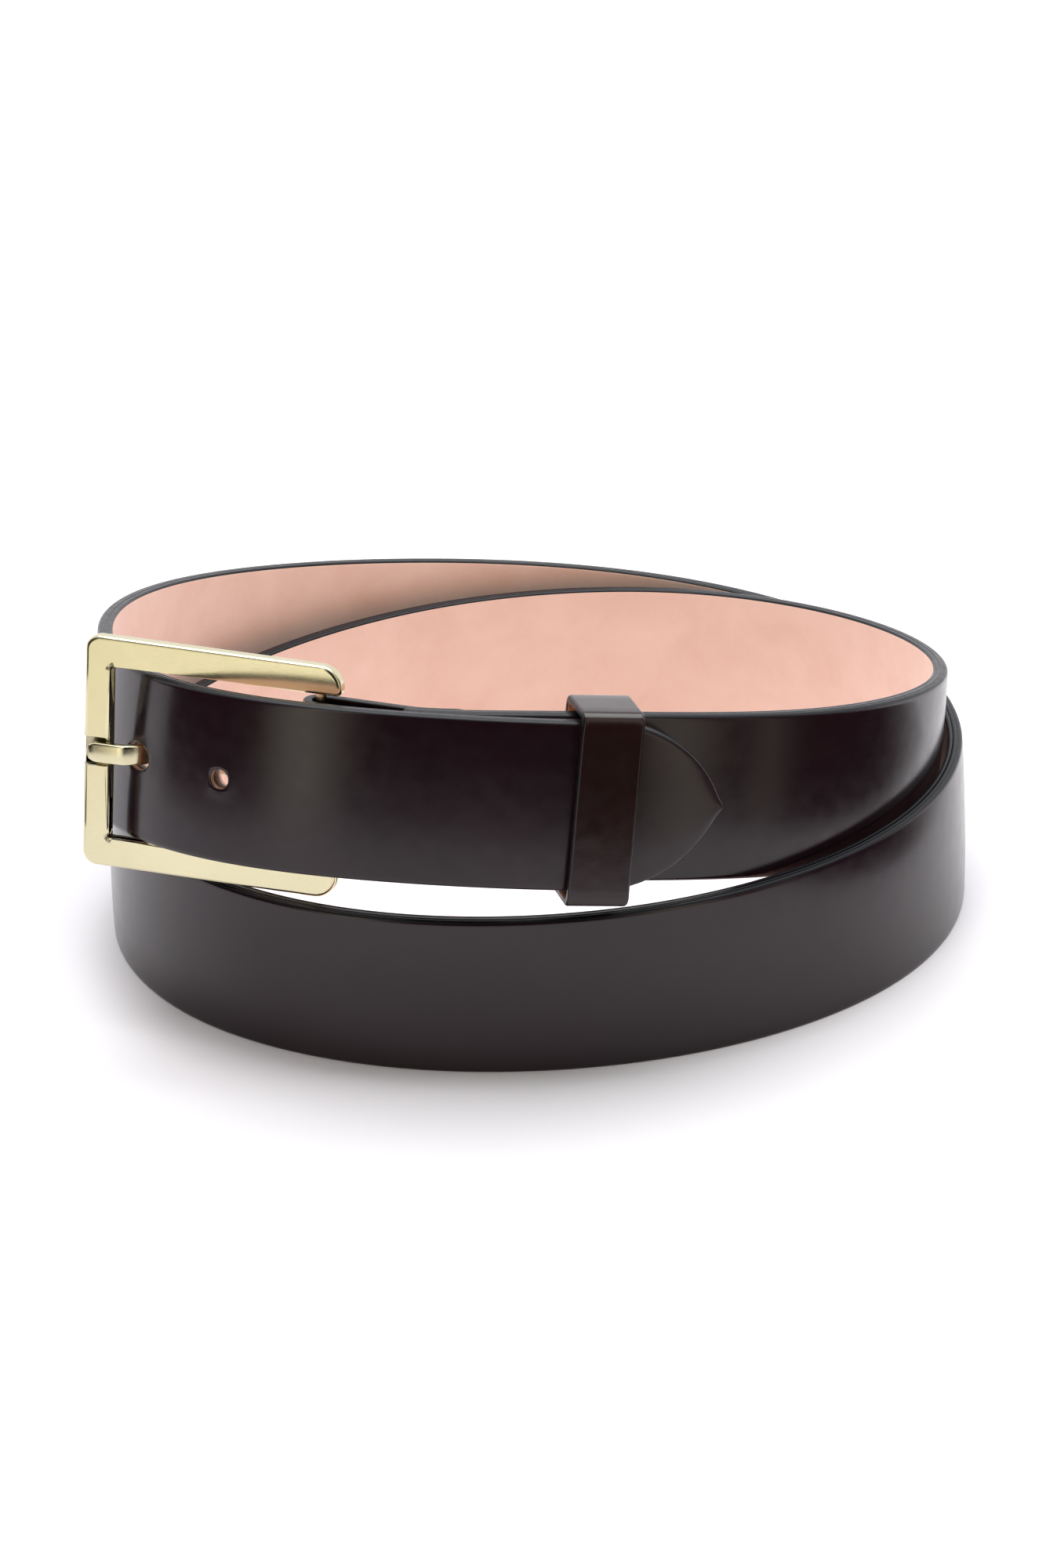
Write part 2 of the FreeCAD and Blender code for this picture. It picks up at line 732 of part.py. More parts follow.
frame_body = buckle_frame()
frame_body.Placement = pivot_place
prong_body = prong()
soften_prong(prong_body)
prong_body.Placement = pivot_place
keeper_body = keeper_band()
keeper_body.Placement = keeper_place
parts += [frame_body, pivot_bar(), prong_body, keeper_body, keeper_staple()]
parts += [pair("chape_posts", chape_post), pair("chape_screws", chape_screw)]
doc.recompute()

# ---------------------------------------------------------------- checks and files
for item in doc.Objects:
    if "Invalid" in item.State or "Error" in item.State:
        raise RuntimeError("%s failed: %s" % (item.Name, item.State))
for piece in parts:
    if piece.Shape.isNull() or not piece.Shape.isValid():
        raise RuntimeError("%s has no valid shape" % piece.Label)

os.makedirs("parts", exist_ok=True)
for piece in parts:
    piece.Shape.exportStep("parts/%s.step" % piece.Label)
    print("%-14s %d solid(s) %8.1f mm3" % (piece.Label, len(piece.Shape.Solids), piece.Shape.Volume))
print("strap length %.1f mm" % LENGTH)
print("pivot at", pivot_station.point, "axis", pivot_station.up)
print("keeper at", keeper_place.Base, "out", Station(size("keeper_from_tip")).out)
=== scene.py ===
import math
import bmesh
import bpy
import numpy as np
from mathutils import Matrix, Vector


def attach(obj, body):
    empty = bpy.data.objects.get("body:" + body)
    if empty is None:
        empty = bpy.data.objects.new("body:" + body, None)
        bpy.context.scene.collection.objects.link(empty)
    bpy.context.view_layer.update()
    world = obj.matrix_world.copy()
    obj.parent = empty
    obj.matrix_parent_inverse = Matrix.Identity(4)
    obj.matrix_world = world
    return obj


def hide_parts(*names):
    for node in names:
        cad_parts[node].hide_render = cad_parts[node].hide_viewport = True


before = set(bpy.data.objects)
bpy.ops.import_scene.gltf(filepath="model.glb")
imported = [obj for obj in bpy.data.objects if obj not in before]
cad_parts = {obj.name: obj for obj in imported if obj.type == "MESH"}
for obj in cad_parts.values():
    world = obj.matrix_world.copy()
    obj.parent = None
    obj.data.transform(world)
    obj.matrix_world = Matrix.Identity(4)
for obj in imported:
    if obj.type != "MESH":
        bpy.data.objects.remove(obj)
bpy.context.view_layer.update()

# A dress belt, buckled and wound into two turns. Metres; the CAD frame's own axes.
MM = 0.001

# ---------------------------------------------------------------- sizes of the leather
STRAP_WIDTH = 35.0 * MM
STRAP_THICK = 3.5 * MM
FACE_THICK = 1.0 * MM
CORE_THICK = 1.5 * MM
HALF = STRAP_WIDTH / 2
TIP_LENGTH = 25.0 * MM
HOLE_FIRST = 102.1 * MM
HOLE_PITCH = 23.0 * MM
HOLE_COUNT = 5
HOLE_RADIUS = 2.0 * MM
PULLED_HOLE = 1
PULLED_SIZE = (4.0 * MM, 2.8 * MM)
CROWN = 0.40 * MM
EDGE_ROUND = 0.9 * MM
FLOOR_LIFT = 0.05 * MM
CHAPE_GAP = 17.5 * MM
KEEPER_FROM_TIP = 25.0 * MM

# Control points of the strap's middle: x, y, height, and the lean of its upper edge
# outwards in degrees. The same route as the CAD part, about the same centre.
CENTRE = np.array([1.73, 21.0, 0.0]) * MM
ROUTE = [
    (39.0, -53.5, 55.5, -5), (19.5, -62.5, 58.9, -7), (-30.0, -69.0, 63.7, -9),
    (-81.5, -46.0, 60.7, -9), (-93.5, 16.0, 49.5, -5), (-72.5, 70.0, 35.2, 3),
    (-24.0, 102.0, 24.7, 8), (32.0, 109.0, 18.7, 7), (81.0, 80.0, 17.2, 3),
    (99.0, 24.5, 17.2, -3), (79.0, -26.5, 17.2, -4), (32.0, -59.5, 17.2, 1),
    (-25.5, -66.0, 17.2, 4), (-74.5, -41.0, 17.2, 3), (-92.5, 13.0, 17.2, -1),
    (-65.5, 63.5, 17.2, 0), (-19.5, 98.0, 17.2, 3), (36.0, 102.0, 18.7, 6),
    (81.5, 67.0, 24.2, 7), (93.5, 12.5, 34.7, 3), (60.5, -38.5, 49.4, -1),
    (8.0, -60.0, 60.6, -7), (-18.0, -58.0, 59.4, -7), (-24.0, -56.0, 59.4, -7),
]
DEGREE = 3


class Route:
    """The strap's middle line as a clamped cubic, with its own axes at any distance."""

    SAMPLES = 6000

    def __init__(self, rows):
        rows = np.array(rows, float)
        self.poles = np.c_[rows[:, :3] * MM - CENTRE, np.radians(rows[:, 3])]
        spans = len(rows) - DEGREE
        self.knots = np.r_[[0.0] * DEGREE, np.linspace(0, 1, spans + 1), [1.0] * DEGREE]
        self.params = np.linspace(0, 1, self.SAMPLES)
        line = self.value(self.params)[:, :3]
        steps = np.linalg.norm(np.diff(line, axis=0), axis=1)
        self.distance = np.r_[0.0, np.cumsum(steps)]
        self.length = self.distance[-1]

    def value(self, params):
        """The curve's x, y, height and lean at each parameter, by the usual recursion."""
        t = np.clip(params, 0.0, 1.0 - 1e-12)[:, None]
        k = self.knots
        weight = ((t >= k[:-1]) & (t < k[1:])).astype(float)
        for degree in range(1, DEGREE + 1):
            n = len(k) - degree - 1
            left = k[degree:degree + n] - k[:n]
            right = k[degree + 1:degree + 1 + n] - k[1:n + 1]
            rising = np.where(left > 0, (t - k[:n]) / np.where(left > 0, left, 1), 0)
            fall = k[degree + 1:degree + 1 + n] - t
            falling = np.where(right > 0, fall / np.where(right > 0, right, 1), 0)
            weight = rising * weight[:, :n] + falling * weight[:, 1:n + 1]
        return weight @ self.poles

    def axes(self, distance):
        """Point, along, up and out for each distance from the tip, past the ends too."""
        distance = np.atleast_1d(distance)
        inside = np.clip(distance, 0.0, self.length)
        t = np.interp(inside, self.distance, self.params)
        step = 1e-4
        here = self.value(t)
        ahead = self.value(np.minimum(t + step, 1.0))[:, :3]
        behind = self.value(np.maximum(t - step, 0.0))[:, :3]
        along = ahead - behind
        along /= np.linalg.norm(along, axis=1)[:, None]
        side = np.c_[-along[:, 1], along[:, 0], np.zeros(len(t))]
        side /= np.linalg.norm(side, axis=1)[:, None]
        rise = np.cross(along, side)
        cos, sin = np.cos(here[:, 3])[:, None], np.sin(here[:, 3])[:, None]
        up = rise * cos + side * sin
        out = side * cos - rise * sin
        point = here[:, :3] + along * (distance - inside)[:, None]
        return point, along, up, out

    def frame(self, distance):
        """A matrix with X along the strap, Y down its face and Z out of its face."""
        point, along, up, out = (Vector(row[0]) for row in self.axes(distance))
        turn = Matrix((along, -up, out)).transposed().to_4x4()
        return Matrix.Translation(point) @ turn


route = Route(ROUTE)
LENGTH = route.length
pivot_frame = route.frame(LENGTH + CHAPE_GAP)
keeper_frame = route.frame(KEEPER_FROM_TIP)


# ---------------------------------------------------------------- material helpers
def new_material(name):
    material = bpy.data.materials.new(name)
    material.use_nodes = True
    nodes = material.node_tree.nodes
    return material, nodes, material.node_tree.links, nodes["Principled BSDF"]


def set_values(shader, **values):
    for name, value in values.items():
        shader.inputs[name.replace("_", " ")].default_value = value


def noise(nodes, links, vector, scale, detail=4.0, roughness=0.55, distortion=0.0):
    node = nodes.new("ShaderNodeTexNoise")
    node.inputs["Scale"].default_value = scale
    node.inputs["Detail"].default_value = detail
    node.inputs["Roughness"].default_value = roughness
    node.inputs["Distortion"].default_value = distortion
    links.new(vector, node.inputs["Vector"])
    return node.outputs["Fac"]


def ramp(nodes, links, factor, stops):
    node = nodes.new("ShaderNodeValToRGB")
    elements = node.color_ramp.elements
    while len(elements) < len(stops):
        elements.new(0.5)
    for element, (place, color) in zip(elements, stops):
        element.position = place
        element.color = (*color, 1)
    links.new(factor, node.inputs["Fac"])
    return node.outputs["Color"]


def spread(nodes, links, factor, low, high):
    """Stretches a 0.3 to 0.7 noise to the range low to high."""
    node = nodes.new("ShaderNodeMapRange")
    node.inputs["From Min"].default_value = 0.3
    node.inputs["From Max"].default_value = 0.7
    node.inputs["To Min"].default_value = low
    node.inputs["To Max"].default_value = high
    links.new(factor, node.inputs["Value"])
    return node.outputs["Result"]


def bump(nodes, links, shader, heights):
    """Chains bumps; heights is a list of (output, depth in metres, strength)."""
    last = None
    for height, depth, strength in heights:
        node = nodes.new("ShaderNodeBump")
        node.inputs["Distance"].default_value = depth
        node.inputs["Strength"].default_value = strength
        links.new(height, node.inputs["Height"])
        if last:
            links.new(last, node.inputs["Normal"])
        last = node.outputs["Normal"]
    links.new(last, shader.inputs["Normal"])


def coordinates(nodes, kind):
    return nodes.new("ShaderNodeTexCoord").outputs[kind]


def pores(nodes, links, vector, scale):
    node = nodes.new("ShaderNodeTexVoronoi")
    node.inputs["Scale"].default_value = scale
    links.new(vector, node.inputs["Vector"])
    return node.outputs["Distance"]


def polished_leather(name, tones, roughness, wave, kind="UV"):
    """Smooth dyed calf: clouded colour, a soft grain and a finish that follows it."""
    material, nodes, links, shader = new_material(name)
    at = coordinates(nodes, kind)
    cloud = noise(nodes, links, at, 34.0, 5.0)
    links.new(ramp(nodes, links, cloud, tones), shader.inputs["Base Color"])
    gloss = noise(nodes, links, at, 260.0, 3.0)
    dull = spread(nodes, links, gloss, roughness * 0.85, roughness * 1.15)
    links.new(dull, shader.inputs["Roughness"])
    set_values(shader, IOR=1.46)
    slow = noise(nodes, links, at, 80.0, 2.0)
    grain = noise(nodes, links, at, 2400.0, 2.0, 0.5)
    bump(nodes, links, shader, [(slow, wave, 0.5), (grain, 0.010 * MM, 0.3)])
    return material


def tanned_leather(name, tones, kind="UV"):
    """Undyed lining leather: mottled, satin, with short fibres."""
    material, nodes, links, shader = new_material(name)
    at = coordinates(nodes, kind)
    mottle = noise(nodes, links, at, 70.0, 6.0, 0.62, 0.3)
    links.new(ramp(nodes, links, mottle, tones), shader.inputs["Base Color"])
    rough = noise(nodes, links, at, 500.0, 4.0)
    links.new(spread(nodes, links, rough, 0.5, 0.68), shader.inputs["Roughness"])
    set_values(shader, IOR=1.45, Sheen_Weight=0.15, Sheen_Roughness=0.5)
    fibre = noise(nodes, links, at, 2200.0, 5.0, 0.65)
    pore = pores(nodes, links, at, 1500.0)
    bump(nodes, links, shader, [(fibre, 0.03 * MM, 0.5), (pore, 0.03 * MM, 0.35)])
    return material


def painted_edge(name):
    """Edge paint: near-black blue, glossy, with the slight ripple of a brushed coat."""
    material, nodes, links, shader = new_material(name)
    at = coordinates(nodes, "Object")
    tone = noise(nodes, links, at, 120.0, 3.0)
    links.new(ramp(nodes, links, tone, [
        (0.3, (0.004, 0.005, 0.008)), (0.7, (0.007, 0.008, 0.012))]), shader.inputs["Base Color"])
    ripple = noise(nodes, links, at, 700.0, 3.0)
    links.new(spread(nodes, links, ripple, 0.30, 0.40), shader.inputs["Roughness"])
    set_values(shader, IOR=1.45, Specular_IOR_Level=0.3)
    bump(nodes, links, shader, [(ripple, 0.02 * MM, 0.5)])
    return material


def plated(name, tones, roughness, scratch):
    """Polished plating with hairline polishing marks and a faint bloom."""
    material, nodes, links, shader = new_material(name)
    at = coordinates(nodes, "Object")
    bloom = noise(nodes, links, at, 60.0, 3.0)
    links.new(ramp(nodes, links, bloom, tones), shader.inputs["Base Color"])
    mapping = nodes.new("ShaderNodeMapping")
    mapping.inputs["Scale"].default_value = (1.0, 1.0, 14.0)
    links.new(at, mapping.inputs["Vector"])
    hair = noise(nodes, links, mapping.outputs["Vector"], 900.0, 4.0)
    links.new(spread(nodes, links, hair, roughness * 0.7, roughness * 1.5), shader.inputs["Roughness"])
    set_values(shader, Metallic=1.0)
    bump(nodes, links, shader, [(hair, 0.003 * MM, scratch), (bloom, 0.05 * MM, 0.12)])
    return material


DARK_CALF = [(0.25, (0.0095, 0.0028, 0.0050)), (0.75, (0.0155, 0.0048, 0.0080))]
KEEPER_CALF = [(0.25, (0.0110, 0.0034, 0.0034)), (0.75, (0.0185, 0.0056, 0.0052))]
NATURAL = [(0.25, (0.83, 0.55, 0.45)), (0.5, (0.88, 0.62, 0.52)), (0.75, (0.92, 0.67, 0.57))]
FLESH = [(0.25, (0.30, 0.12, 0.055)), (0.75, (0.46, 0.21, 0.11))]
GOLD = [(0.3, (0.62, 0.57, 0.38)), (0.7, (0.67, 0.62, 0.42))]

strap_leather = polished_leather("strap_calf", DARK_CALF, 0.20, 0.08 * MM)
keeper_leather = polished_leather("keeper_calf", KEEPER_CALF, 0.16, 0.20 * MM, "Object")
chape_leather = polished_leather("chape_calf", DARK_CALF, 0.24, 0.10 * MM)
lining_leather = tanned_leather("natural_lining", NATURAL)
flesh_leather = tanned_leather("flesh_side", FLESH, "Object")
edge_paint = painted_edge("edge_paint")
core_board = tanned_leather("bonded_core", [(0.3, (0.06, 0.03, 0.02)), (0.7, (0.10, 0.05, 0.03))])
gold_plate = plated("pale_gold_plate", GOLD, 0.17, 0.2)
screw_plate = plated("screw_plate", GOLD, 0.28, 0.5)
wire_steel = plated("staple_steel", [(0.3, (0.5, 0.5, 0.5)), (0.7, (0.6, 0.6, 0.6))], 0.25, 0.5)


# ---------------------------------------------------------------- mesh helpers
def finish_piece(bm, name, materials, body, nodes):
    """Turns a bmesh into an object that rides a body and stands for CAD nodes."""
    bmesh.ops.recalc_face_normals(bm, faces=bm.faces)
    mesh = bpy.data.meshes.new(name)
    bm.to_mesh(mesh)
    bm.free()
    for material in materials:
        mesh.materials.append(material)
    for polygon in mesh.polygons:
        polygon.use_smooth = True
    piece = bpy.data.objects.new(name, mesh)
    bpy.context.scene.collection.objects.link(piece)
    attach(piece, body)
    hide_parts(*nodes)
    return piece


def soften(piece, width, segments, angle):
    """A small rounding on every crisp edge, with even shading."""
    bevel = piece.modifiers.new("rounding", "BEVEL")
    bevel.width = width
    bevel.segments = segments
    bevel.limit_method = "ANGLE"
    bevel.angle_limit = math.radians(angle)
    bevel.harden_normals = True
    return bevel


def flat_uv(bm):
    """Lays the flat blank's own lengths into its UV map, in metres."""
    layer = bm.loops.layers.uv.new("flat")
    for face in bm.faces:
        for loop in face.loops:
            loop[layer].uv = (loop.vert.co.x, loop.vert.co.y)


def bend_strap(bm):
    """Lays a flat blank (x along, y across, z out) onto the route."""
    flat = np.array([vert.co for vert in bm.verts])
    point, along, up, out = route.axes(flat[:, 0])
    bent = point + up * flat[:, 1:2] + out * flat[:, 2:3]
    bent[:, 2] = np.maximum(bent[:, 2], FLOOR_LIFT)
    for vert, place in zip(bm.verts, bent):
        vert.co = place


# ---------------------------------------------------------------- strap
COLUMNS = 912
ROWS = [0.0, 1.25, 2.5, 3.75, 5.0, 7.5, 10.0, 12.4, 14.4, 15.6, 16.3, 16.75, 17.05, 17.27, 17.42, 17.5]
HOLE_BLOCK_ROWS = 4
BLOCK_HALF = 4
RING_STEPS = (0.45, 0.8, 0.93, 1.0)
NOSE_RADIUS = 3.0 * MM
NOSE_STRETCH = 20.0 * MM
NOSE_HALF = 0.02 * MM
NOSE_POWER = 1.8
CROWN_POWER = 2.6
LINING_ROUND = 0.6 * MM
THINNEST = 0.12 * MM
PAINT_OVERLAP = 0.36 * MM
SWELL = 0.10 * MM
SWELL_REACH = 2.0 * MM
ROLL = 0.22 * MM
ROLL_REACH = 0.35 * MM


def half_width(x):
    """Half the strap's width at a distance from the tip: two arcs and a small round nose."""
    radius = (TIP_LENGTH ** 2 + HALF ** 2) / (2 * HALF)
    back = TIP_LENGTH - min(x, TIP_LENGTH)
    point = HALF - radius + math.sqrt(radius ** 2 - back ** 2)
    if x < NOSE_RADIUS / 3:
        point = max(point, math.sqrt(max(2 * NOSE_RADIUS * x - x * x, 0.0)))
    return max(point, NOSE_HALF)


def outer_depth(y, half):
    """Depth of the crowned face, rounded over at its edges."""
    fraction = min(abs(y) / half, 1.0)
    crown = CROWN * fraction ** CROWN_POWER
    radius = min(EDGE_ROUND, half * 0.5)
    into = max(0.0, abs(y) - (half - radius)) / radius
    rounding = radius * (1 - math.sqrt(max(0.0, 1 - min(into, 1.0) ** 2)))
    return STRAP_THICK / 2 - crown - rounding


def inner_depth(y, half):
    """Depth of the lining: flat, with a small rounding at its edges."""
    radius = min(LINING_ROUND, half * 0.4)
    into = max(0.0, abs(y) - (half - radius)) / radius
    rounding = radius * (1 - math.sqrt(max(0.0, 1 - min(into, 1.0) ** 2)))
    return -STRAP_THICK / 2 + rounding


def layer_depths(layer, y, half):
    """Upper and lower depth of one of the three layers at one place."""
    face_top = outer_depth(y, half)
    crown = CROWN * min(abs(y) / half, 1.0) ** CROWN_POWER
    face_bottom = STRAP_THICK / 2 - FACE_THICK - crown
    core_bottom = STRAP_THICK / 2 - FACE_THICK - CORE_THICK
    lining_bottom = inner_depth(y, half)
    if layer == "face":
        return max(face_top, face_bottom + THINNEST), face_bottom
    if layer == "core":
        return face_bottom, core_bottom
    return core_bottom, min(lining_bottom, core_bottom - THINNEST)


def hole_place(number):
    return HOLE_FIRST + HOLE_PITCH * number


def hole_size(number):
    """Half the length and half the width of a hole."""
    return PULLED_SIZE if number == PULLED_HOLE else (HOLE_RADIUS, HOLE_RADIUS)


def punch(bm, place, size, rows):
    """Opens a round or drawn-out hole: a block of faces gives way to closing rings."""
    step = LENGTH / COLUMNS
    centre = round(place / step) * step
    reach = BLOCK_HALF * step
    block = [face for face in bm.faces
             if abs(face.calc_center_median().x - centre) < reach
             and abs(face.calc_center_median().y) < rows]
    bmesh.ops.delete(bm, geom=block, context="FACES")
    rim = [edge for edge in bm.edges if edge.is_boundary
           and all(abs(vert.co.x - centre) < reach * 1.01 for vert in edge.verts)
           and all(abs(vert.co.y) < rows * 1.01 for vert in edge.verts)]
    done = 0.0
    for part in RING_STEPS:
        result = bmesh.ops.extrude_edge_only(bm, edges=rim)
        rim = [item for item in result["geom"] if isinstance(item, bmesh.types.BMEdge)]
        fraction = (part - done) / (1.0 - done)
        for vert in {vert for edge in rim for vert in edge.verts}:
            angle = math.atan2(vert.co.y, vert.co.x - place)
            on_rim = Vector((place + size[0] * math.cos(angle), size[1] * math.sin(angle), 0))
            vert.co = vert.co.lerp(on_rim, fraction)
        done = part


def strap_blank(layer):
    """One layer, cut flat: a grid shaped to the pointed tip, punched and given depth."""
    bm = bmesh.new()
    across = 2 * (len(ROWS) - 1)
    bmesh.ops.create_grid(bm, x_segments=COLUMNS, y_segments=across, size=0.5)
    rows = np.array(ROWS) * MM
    steps = np.arange(len(ROWS))
    for vert in bm.verts:
        row = abs(vert.co.y) * across
        vert.co.y = math.copysign(np.interp(row, steps, rows), vert.co.y)
        x = (vert.co.x + 0.5) * LENGTH
        if x < NOSE_STRETCH:
            x = NOSE_STRETCH * (x / NOSE_STRETCH) ** NOSE_POWER
        vert.co.x = x
    block_rows = rows[HOLE_BLOCK_ROWS]
    for number in range(HOLE_COUNT):
        punch(bm, hole_place(number), hole_size(number), block_rows)
    for vert in bm.verts:
        vert.co.y *= half_width(vert.co.x) / HALF
    flat_uv(bm)
    skin = bm.faces[:]
    wall = bmesh.ops.extrude_face_region(bm, geom=skin, use_keep_orig=True)
    top = {item for item in wall["geom"] if isinstance(item, bmesh.types.BMVert)}
    for vert in bm.verts:
        upper, lower = layer_depths(layer, vert.co.y, half_width(vert.co.x))
        lip = hole_lip(vert.co) if layer == "face" else 0.0
        vert.co.z = upper + lip if vert in top else lower
    return bm


def beyond_rim(place):
    """Roughly how far out from the nearest hole's rim a place is, negative inside it."""
    number = min(range(HOLE_COUNT), key=lambda n: abs(place.x - hole_place(n)))
    size = hole_size(number)
    ratio = math.hypot((place.x - hole_place(number)) / size[0], place.y / size[1])
    return (ratio - 1.0) * size[1]


def hole_lip(place):
    """The leather swells a little round a punched hole and rolls into it."""
    away = beyond_rim(place)
    if away > SWELL_REACH:
        return 0.0
    swell = SWELL * max(0.0, 1 - away / SWELL_REACH)
    roll = ROLL * max(0.0, 1 - away / ROLL_REACH) ** 2
    return swell - roll


def in_a_hole(centre):
    return beyond_rim(centre) < 0.1 * MM


def strap_layer(name, layer, surface, hole_side, node):
    bm = strap_blank(layer)
    bm.normal_update()
    for face in bm.faces:
        centre = face.calc_center_median()
        near_edge = half_width(centre.x) - abs(centre.y) < PAINT_OVERLAP
        steep = abs(face.normal.z) < 0.5
        if steep and in_a_hole(centre):
            face.material_index = 2
        elif steep or near_edge:
            face.material_index = 1
    bend_strap(bm)
    return finish_piece(bm, name, [surface, edge_paint, hole_side], "strap", [node])


strap_layer("strap_outer_leather", "face", strap_leather, flesh_leather,
            "strap_face")
strap_layer("strap_filler", "core", core_board, core_board,
            "strap_core")
strap_layer("strap_lining_leather", "lining", lining_leather, lining_leather,
            "strap_lining")

# ---------------------------------------------------------------- buckle tab
TAB_THICK = 1.8 * MM
TAB_INNER = 1.9 * MM
TAB_HALF = 17.0 * MM
TAB_FRONT = 22.0 * MM
TAB_REAR = 19.0 * MM
TAB_SLOT = 2.7 * MM
TAB_SLOT_BACK = 9.0 * MM
TAB_END = 9.0 * MM
TAB_END_DRAW = 0.30
TAB_FLARE = 1.1 * MM
TAB_FLARE_FROM = CHAPE_GAP + 8.0 * MM


def fold_tab(bm, depth):
    """Lays the flat tab over the strap's end, round the pivot and back behind."""
    front = TAB_FRONT + CHAPE_GAP
    bend = math.pi * depth
    for vert in bm.verts:
        x, y = vert.co.x, vert.co.y
        if x < front:
            point, along, up, out = route.axes(LENGTH - TAB_FRONT + x)
            place = point[0] + up[0] * y + out[0] * depth
        elif x > front + bend:
            back = x - front - bend
            point, along, up, out = route.axes(LENGTH + CHAPE_GAP - back)
            flare = TAB_FLARE * max(0.0, (back - TAB_FLARE_FROM) / (11 * MM)) ** 1.6
            place = point[0] + up[0] * y - out[0] * (depth + flare)
        else:
            angle = (x - front) / depth
            point, along, up, out = route.axes(LENGTH + CHAPE_GAP)
            turn = out[0] * math.cos(angle) + along[0] * math.sin(angle)
            place = point[0] + up[0] * y + turn * depth
        vert.co = place


def buckle_tab():
    depth = TAB_INNER + TAB_THICK / 2
    front = TAB_FRONT + CHAPE_GAP
    bend = math.pi * depth
    total = front + bend + CHAPE_GAP + TAB_REAR
    bm = bmesh.new()
    bmesh.ops.create_grid(bm, x_segments=86, y_segments=20, size=0.5)
    for vert in bm.verts:
        vert.co.x = (vert.co.x + 0.5) * total
        vert.co.y *= 2 * TAB_HALF
    slot_from = front - TAB_SLOT_BACK
    slot_to = front + bend + TAB_SLOT_BACK
    cut = [face for face in bm.faces
           if slot_from < face.calc_center_median().x < slot_to
           and abs(face.calc_center_median().y) < TAB_SLOT]
    bmesh.ops.delete(bm, geom=cut, context="FACES")
    for vert in bm.verts:
        end = min(vert.co.x, total - vert.co.x)
        if end < TAB_END:
            vert.co.y *= 1 - TAB_END_DRAW * (1 - end / TAB_END) ** 2.2
    flat_uv(bm)
    fold_tab(bm, depth)
    return finish_piece(bm, "buckle_tab", [chape_leather, flesh_leather, edge_paint],
                        "strap", ["buckle_chape"])


def thicken(piece, thickness, offset):
    """Gives a skin its thickness, with the flesh side and painted rim as materials."""
    solid = piece.modifiers.new("thickness", "SOLIDIFY")
    solid.thickness = thickness
    solid.offset = offset
    solid.use_even_offset = True
    solid.material_offset = 1
    solid.material_offset_rim = 2
    return solid


tab_piece = buckle_tab()
thicken(tab_piece, TAB_THICK, 0.0)
soften(tab_piece, 0.35 * MM, 3, 35.0)

# ---------------------------------------------------------------- buckle frame
FRAME_HALF = 24.3 * MM
FRAME_THICK = 3.2 * MM
ARM_WIDTH = 6.0 * MM
BAR_WIDTH = 5.4 * MM
BAR_REACH = 50.0 * MM
ARM_TAIL = 4.5 * MM
SEAT_HALF = 2.8 * MM
SEAT_DEPTH = 1.0 * MM
CORNER_RADIUS = 3.0 * MM
TAIL_RADIUS = 4.6 * MM
TAIL_INNER_RADIUS = 1.2 * MM
INNER_RADIUS = 1.0 * MM
FACE_ROUND = 0.9 * MM
SEAT_ROUND_WEIGHT = 0.35


def round_corners(bm, picks):
    """Rounds chosen corners of a flat outline: picks is a list of (test, radius)."""
    for test, radius in picks:
        verts = [vert for vert in bm.verts if test(vert.co)]
        bmesh.ops.bevel(bm, geom=verts, offset=radius, offset_type="OFFSET", segments=10,
                        profile=0.5, affect="VERTICES", material=-1)


